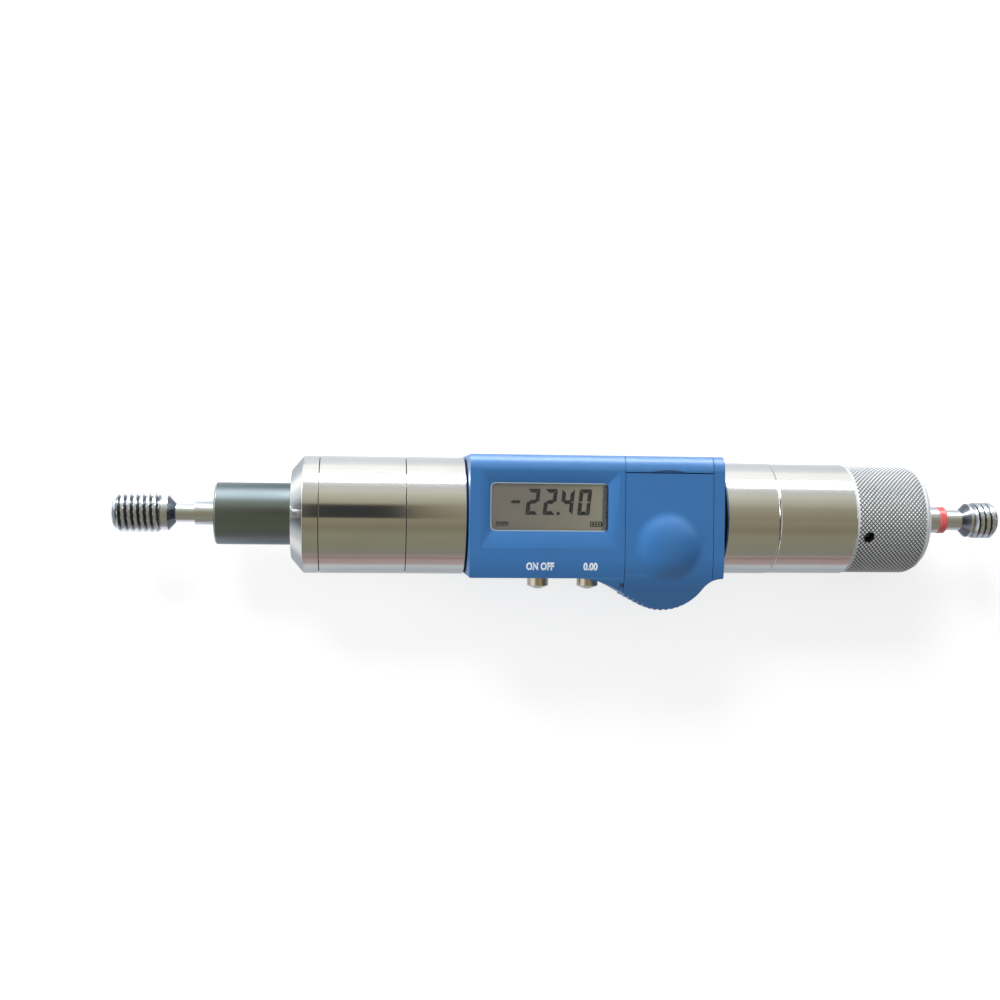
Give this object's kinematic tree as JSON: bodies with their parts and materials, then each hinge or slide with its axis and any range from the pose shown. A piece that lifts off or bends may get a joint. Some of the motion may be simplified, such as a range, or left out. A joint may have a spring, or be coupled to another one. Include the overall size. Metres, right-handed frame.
{
  "type": "digital thread gauge",
  "caption": "Hand-held thread gauge with a GO plug in a sliding depth sleeve, a display housing, a turning knurled grip and a NO-GO plug at the other end.",
  "frame": {"origin": "on the flat back of the housing that the gauge lies on, below the gauge axis and midway along the housing", "axes": "+X along the gauge axis from the GO plug to the NO-GO plug, +Y away from the push buttons, +Z out of the display"},
  "size_m": [0.1851, 0.0311, 0.0296],
  "materials": {
    "bright_steel": "polished turned steel",
    "dark_steel": "dark ground steel",
    "gauge_steel": "ground gauge steel",
    "knurled_steel": "knurled steel",
    "inner_steel": "plain steel",
    "button_metal": "nickel-plated metal",
    "blue_plastic": "fine satin grain",
    "black_rubber": "matt rubber",
    "black_plastic": "matt moulded plastic",
    "red_plastic": "red marking ring",
    "window_clear": "clear window",
    "display_grey": "grey display with dark segments",
    "board_green": "circuit board",
    "connector_pink": "elastomer strip",
    "contact_gold": "plated contact",
    "bronze": "bronze",
    "scale_film": "etched scale film"
  },
  "bodies": {
    "gauge_body": {"core_tube": "inner_steel", "nose_cap": "bright_steel", "nose_wiper": "black_rubber", "guide_bush": "bronze", "front_tube": "bright_steel", "middle_tube": "bright_steel", "rear_tube": "bright_steel", "front_seal": "black_rubber", "rear_seal": "black_rubber", "housing_cover": "blue_plastic", "housing_base": "blue_plastic", "housing_screws": "inner_steel", "tube_lock_screw": "inner_steel", "display_window": "window_clear", "display_panel": "display_grey", "display_connectors": "connector_pink", "main_board": "board_green", "board_screws": "inner_steel", "measuring_chip": "black_plastic", "reader_board": "board_green", "button_switches": "black_plastic", "button_seals": "black_rubber", "positive_contact": "contact_gold", "negative_contact": "contact_gold", "port_connector": "black_plastic", "port_pins": "contact_gold", "spring_stop": "inner_steel", "return_spring": "inner_steel", "bearing_outer_rings": "inner_steel", "outer_spacer": "inner_steel", "bearing_retainer": "inner_steel"},
    "sleeve_unit": {"depth_sleeve": "dark_steel", "sleeve_carriage": "inner_steel", "carriage_nut": "inner_steel", "scale_bar": "inner_steel", "scale_strip": "scale_film", "scale_screws": "inner_steel"},
    "spindle_unit": {"spindle": "inner_steel", "go_plug": "gauge_steel", "grip_hub": "inner_steel", "grip_sleeve": "bright_steel", "knurled_ring": "knurled_steel", "hub_grub_screw": "inner_steel", "nogo_plug": "gauge_steel", "red_ring": "red_plastic", "bearing_inner_rings": "inner_steel", "inner_spacer": "inner_steel", "spindle_circlip": "inner_steel"},
    "ball_set": {"bearing_balls": "inner_steel", "bearing_cages": "bronze"},
    "drawer_unit": {"battery_drawer": "blue_plastic", "button_cell": "inner_steel"},
    "mode_key": {"mode_button": "button_metal"},
    "set_key": {"set_button": "button_metal"},
    "port_lid": {"port_cover": "blue_plastic"}
  },
  "joints": [
    {"name": "spindle_turn", "type": "hinge", "parent": "gauge_body", "child": "spindle_unit", "pos_m": [0, 0, 0.013], "axis": [1, 0, 0], "continuous": true},
    {"name": "ball_orbit", "type": "hinge", "parent": "gauge_body", "child": "ball_set", "pos_m": [0, 0, 0.013], "axis": [1, 0, 0], "continuous": true},
    {"name": "sleeve_slide", "type": "slide", "parent": "gauge_body", "child": "sleeve_unit", "axis": [1, 0, 0], "range_m": [-0.0203, 0.009], "stiffness_N_per_m": 60, "springref_m": -0.045, "deforming": ["return_spring"]},
    {"name": "mode_press", "type": "slide", "parent": "gauge_body", "child": "mode_key", "axis": [0, 1, 0], "range_m": [0, 0.0008], "stiffness_N_per_m": 400, "springref_m": -0.001},
    {"name": "set_press", "type": "slide", "parent": "gauge_body", "child": "set_key", "axis": [0, 1, 0], "range_m": [0, 0.0008], "stiffness_N_per_m": 400, "springref_m": -0.001},
    {"name": "drawer_slide", "type": "slide", "parent": "gauge_body", "child": "drawer_unit", "axis": [0, -1, 0], "range_m": [0, 0.022]},
    {"name": "port_slide", "type": "slide", "parent": "gauge_body", "child": "port_lid", "axis": [0, 1, 0], "range_m": [0, 0.01]}
  ],
  "couplings": [
    {"joint": "ball_orbit", "follows": "spindle_turn", "ratio": 0.41667}
  ]
}
